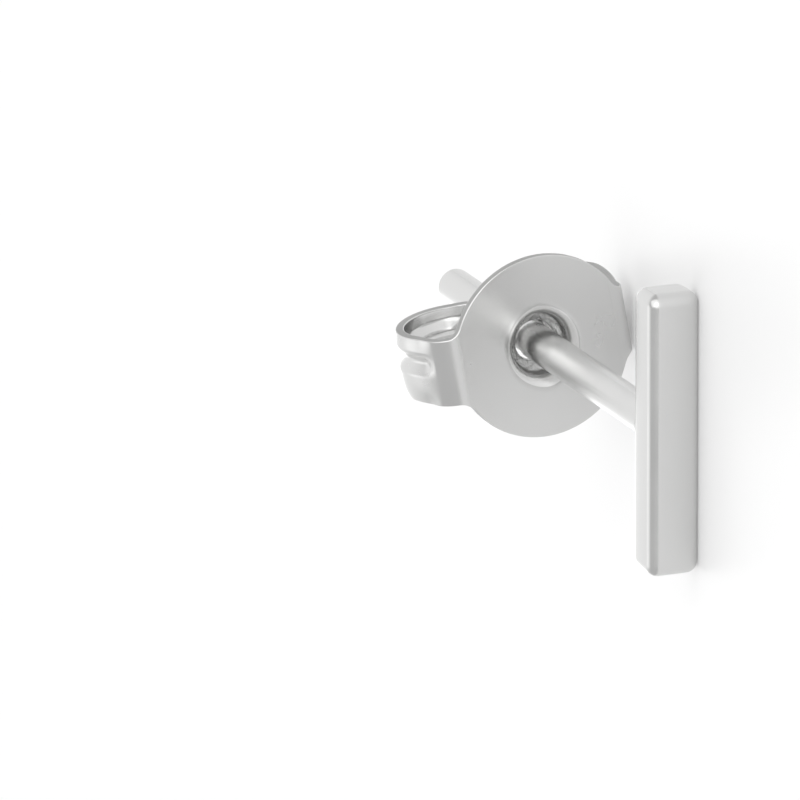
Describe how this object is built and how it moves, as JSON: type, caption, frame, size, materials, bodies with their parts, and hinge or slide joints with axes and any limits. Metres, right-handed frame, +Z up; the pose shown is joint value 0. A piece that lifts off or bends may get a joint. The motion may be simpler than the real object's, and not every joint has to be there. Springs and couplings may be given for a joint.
{
  "type": "bar stud earring",
  "caption": "Slim rounded bar stud earring with a straight soldered post and a butterfly clutch that slides along it, lying on its side.",
  "frame": {"origin": "middle of the earring's footprint on the surface that it lies on", "axes": "+X along the bar towards its upper end when worn, +Y from the bar back along the post, which rises 12.4 degrees towards its tip, +Z up from the surface"},
  "size_m": [0.0062, 0.0126, 0.0052],
  "materials": {
    "stud_silver": "polished silver with fine handling marks",
    "clutch_silver": "polished sheet silver, a little softer than the stud"
  },
  "bodies": {
    "stud": {"bar_and_post": "stud_silver"},
    "clutch": {"clutch": "clutch_silver"}
  },
  "joints": [
    {"name": "clutch_slide", "type": "slide", "parent": "stud", "child": "clutch", "axis": [0, 0.9767, 0.2148], "range_m": [-0.0062, 0.00565]}
  ]
}
